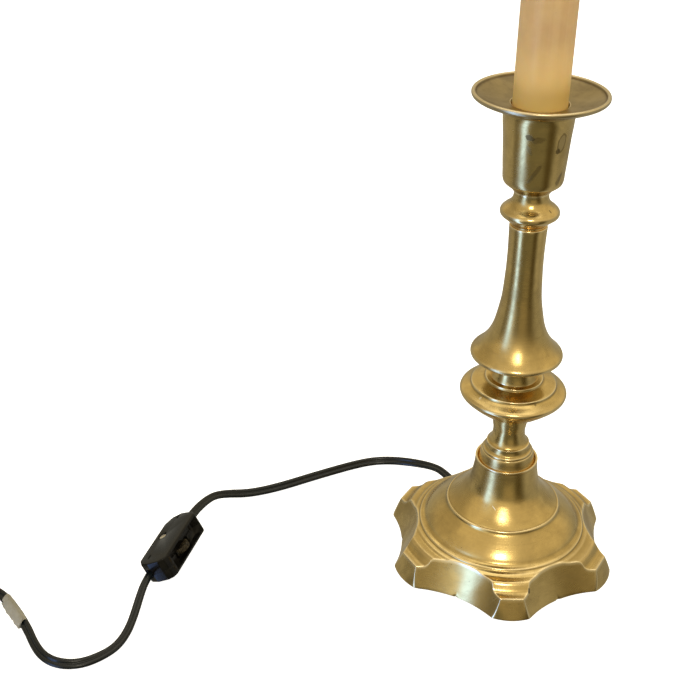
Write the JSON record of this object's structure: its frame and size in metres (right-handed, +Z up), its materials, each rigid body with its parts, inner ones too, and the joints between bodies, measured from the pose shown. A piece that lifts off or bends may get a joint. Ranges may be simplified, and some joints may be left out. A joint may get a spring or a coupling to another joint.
{
  "type": "candlestick lamp",
  "caption": "Brass candlestick table lamp with a scalloped six-sided base, turned stem, drip pan, candle sleeve and bulb, and a flat cord with an in-line thumb-wheel switch and plug.",
  "frame": {"origin": "on the lamp's axis at the table, under the felt", "axes": "+Z up along the stem; a corner of the six-armed base points to -Y; the cord runs off to -X"},
  "size_m": [0.4353, 0.185, 0.4485],
  "materials": {
    "aged_brass": "worn satin, tarnished in places",
    "red_felt": "pressed felt",
    "black_bush": "moulded",
    "candle_cream": "waxy satin",
    "zinc_steel": "zinc plated",
    "dark_pvc": "extruded PVC, slight sheen",
    "lead_pvc": "extruded PVC",
    "phenolic": "moulded phenolic",
    "contact_brass": "bright pressed",
    "fibre": "fibre tube",
    "clear_glass": "clear",
    "stem_glass": "clear",
    "bulb_solder": "tinned",
    "filament": "drawn wire",
    "switch_black": "moulded, slightly scuffed",
    "wheel_black": "moulded",
    "nickel": "nickel plated",
    "tag_paper": "yellowed paper",
    "tie_black": "coated wire tie",
    "plug_black": "moulded PVC",
    "blade_brass": "bright"
  },
  "bodies": {
    "lamp": {"base_casting": "aged_brass", "lower_stem": "aged_brass", "trumpet_column": "aged_brass", "upper_knop": "aged_brass", "candle_cup": "aged_brass", "drip_pan": "aged_brass", "base_felt": "red_felt", "cord_bushing": "black_bush", "lamp_pipe": "zinc_steel", "base_nut": "zinc_steel", "cup_nut": "zinc_steel", "base_washer": "zinc_steel", "cup_washer": "zinc_steel", "socket_bracket": "zinc_steel", "inner_cord": "dark_pvc", "cord_lamp_side": "dark_pvc", "cord_plug_side": "dark_pvc", "cord_tail": "dark_pvc", "cord_coil": "dark_pvc", "lead_hot": "lead_pvc", "lead_neutral": "lead_pvc", "socket_body": "phenolic", "screw_shell": "contact_brass", "centre_contact": "contact_brass", "terminal_screws": "contact_brass", "socket_liner": "fibre", "switch_upper_shell": "switch_black", "switch_lower_shell": "switch_black", "switch_axle": "zinc_steel", "switch_screw": "nickel", "switch_contacts": "contact_brass", "cord_tag": "tag_paper", "cord_tie": "tie_black", "plug_body": "plug_black", "plug_blade_narrow": "blade_brass", "plug_blade_wide": "blade_brass"},
    "candle_sleeve": {"candle_sleeve": "candle_cream"},
    "bulb": {"bulb_glass": "clear_glass", "bulb_cap": "contact_brass", "bulb_contact": "bulb_solder", "bulb_stem": "stem_glass", "bulb_filament": "filament"},
    "switch_wheel": {"switch_wheel": "wheel_black"}
  },
  "joints": [
    {"name": "wheel_turn", "type": "hinge", "parent": "lamp", "child": "switch_wheel", "pos_m": [-0.18108, -0.02135, 0.00988], "axis": [-0.4595, 0.1229, 0.8796], "continuous": true},
    {"name": "bulb_screw", "type": "hinge", "parent": "lamp", "child": "bulb", "pos_m": [0, 0, 0.35], "axis": [0, 0, 1], "continuous": true},
    {"name": "sleeve_lift", "type": "slide", "parent": "lamp", "child": "candle_sleeve", "axis": [0, 0, 1], "range_m": [0, 0.005]}
  ]
}
